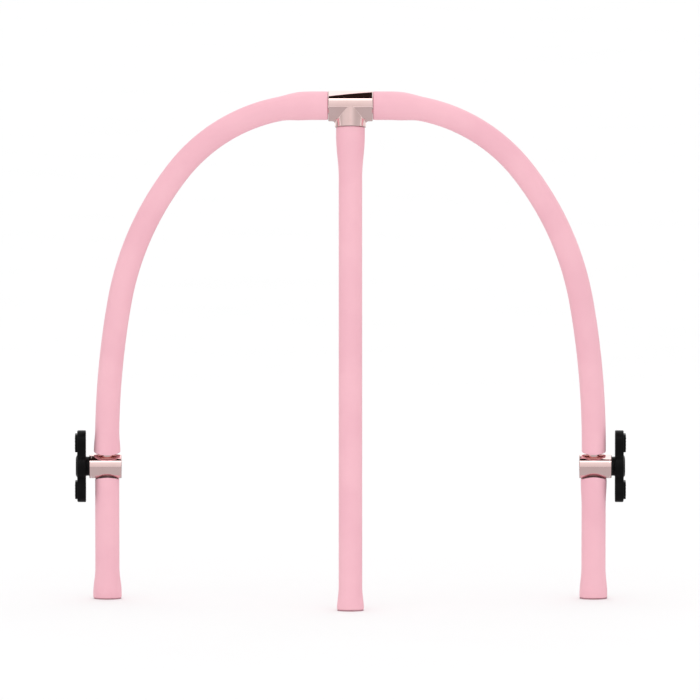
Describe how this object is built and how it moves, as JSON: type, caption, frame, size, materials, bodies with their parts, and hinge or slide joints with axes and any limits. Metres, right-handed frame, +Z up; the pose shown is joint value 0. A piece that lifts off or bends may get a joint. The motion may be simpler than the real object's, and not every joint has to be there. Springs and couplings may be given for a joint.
{
  "type": "kip bar",
  "caption": "Arched gymnastics grip frame in padded pink tube, with a prop leg hung from a rose-gold crown tee and folding lower legs locked by hand knobs.",
  "frame": {"origin": "on the floor, at the centre of the footprint of the whole object at rest", "axes": "+X across the arch to the right as seen from the prop's side, +Y to the back, where the arch leans, +Z up"},
  "size_m": [0.732, 0.2224, 0.6807],
  "materials": {
    "pink_sleeve": "smooth satin soft-touch sleeve",
    "rose_metal": "polished rose-gold plate",
    "steel": "drawn and zinc plated",
    "dark_steel": "black oxide",
    "boot_rubber": "matt moulded",
    "bearing_plastic": "turned acetal",
    "washer_plastic": "moulded",
    "black_plastic": "moulded, lightly polished on the edges",
    "insert_brass": "turned"
  },
  "bodies": {
    "arch": {"crown_axle": "steel", "crown_pins": "steel", "arch_tube_left": "steel", "arch_sleeve_left": "pink_sleeve", "crown_collar_left": "steel", "barrel_shell_left": "rose_metal", "barrel_rim_left": "rose_metal", "friction_discs_left": "bearing_plastic", "clamp_bolt_left": "dark_steel", "arch_tube_right": "steel", "arch_sleeve_right": "pink_sleeve", "crown_collar_right": "steel", "barrel_shell_right": "rose_metal", "barrel_rim_right": "rose_metal", "friction_discs_right": "bearing_plastic", "clamp_bolt_right": "dark_steel"},
    "prop": {"crown_tee": "rose_metal", "tee_bushes": "bearing_plastic", "stop_screw": "dark_steel", "prop_tube": "steel", "prop_sleeve": "pink_sleeve", "prop_boot": "boot_rubber"},
    "leg_left": {"leg_knuckle_left": "steel", "leg_tube_left": "steel", "leg_sleeve_left": "pink_sleeve", "leg_boot_left": "boot_rubber"},
    "knob_washer_left": {"knob_washer_left": "washer_plastic"},
    "hand_knob_left": {"hand_knob_left": "black_plastic", "knob_insert_left": "insert_brass"},
    "leg_right": {"leg_knuckle_right": "steel", "leg_tube_right": "steel", "leg_sleeve_right": "pink_sleeve", "leg_boot_right": "boot_rubber"},
    "knob_washer_right": {"knob_washer_right": "washer_plastic"},
    "hand_knob_right": {"hand_knob_right": "black_plastic", "knob_insert_right": "insert_brass"}
  },
  "joints": [
    {"name": "prop_swing", "type": "hinge", "parent": "arch", "child": "prop", "pos_m": [0, 0.02301, 0.65987], "axis": [1, 0, 0], "range_deg": [0, 16]},
    {"name": "left_leg_fold", "type": "hinge", "parent": "arch", "child": "leg_left", "pos_m": [-0.32304, 0.07368, 0.17782], "axis": [1, 0, 0], "range_deg": [0, 85]},
    {"name": "left_knob_travel", "type": "slide", "parent": "arch", "child": "knob_washer_left", "axis": [-1, 0, 0], "range_m": [0, 0.0025]},
    {"name": "left_knob_turn", "type": "hinge", "parent": "knob_washer_left", "child": "hand_knob_left", "pos_m": [-0.32304, 0.07368, 0.17782], "axis": [-1, 0, 0], "range_deg": [0, 720]},
    {"name": "right_leg_fold", "type": "hinge", "parent": "arch", "child": "leg_right", "pos_m": [0.32304, 0.07368, 0.17782], "axis": [1, 0, 0], "range_deg": [0, 85]},
    {"name": "right_knob_travel", "type": "slide", "parent": "arch", "child": "knob_washer_right", "axis": [1, 0, 0], "range_m": [0, 0.0025]},
    {"name": "right_knob_turn", "type": "hinge", "parent": "knob_washer_right", "child": "hand_knob_right", "pos_m": [0.32304, 0.07368, 0.17782], "axis": [1, 0, 0], "range_deg": [0, 720]}
  ],
  "couplings": [
    {"joint": "left_knob_turn", "follows": "left_knob_travel", "rad_per_m": 5026.5},
    {"joint": "right_knob_turn", "follows": "right_knob_travel", "rad_per_m": 5026.5}
  ]
}
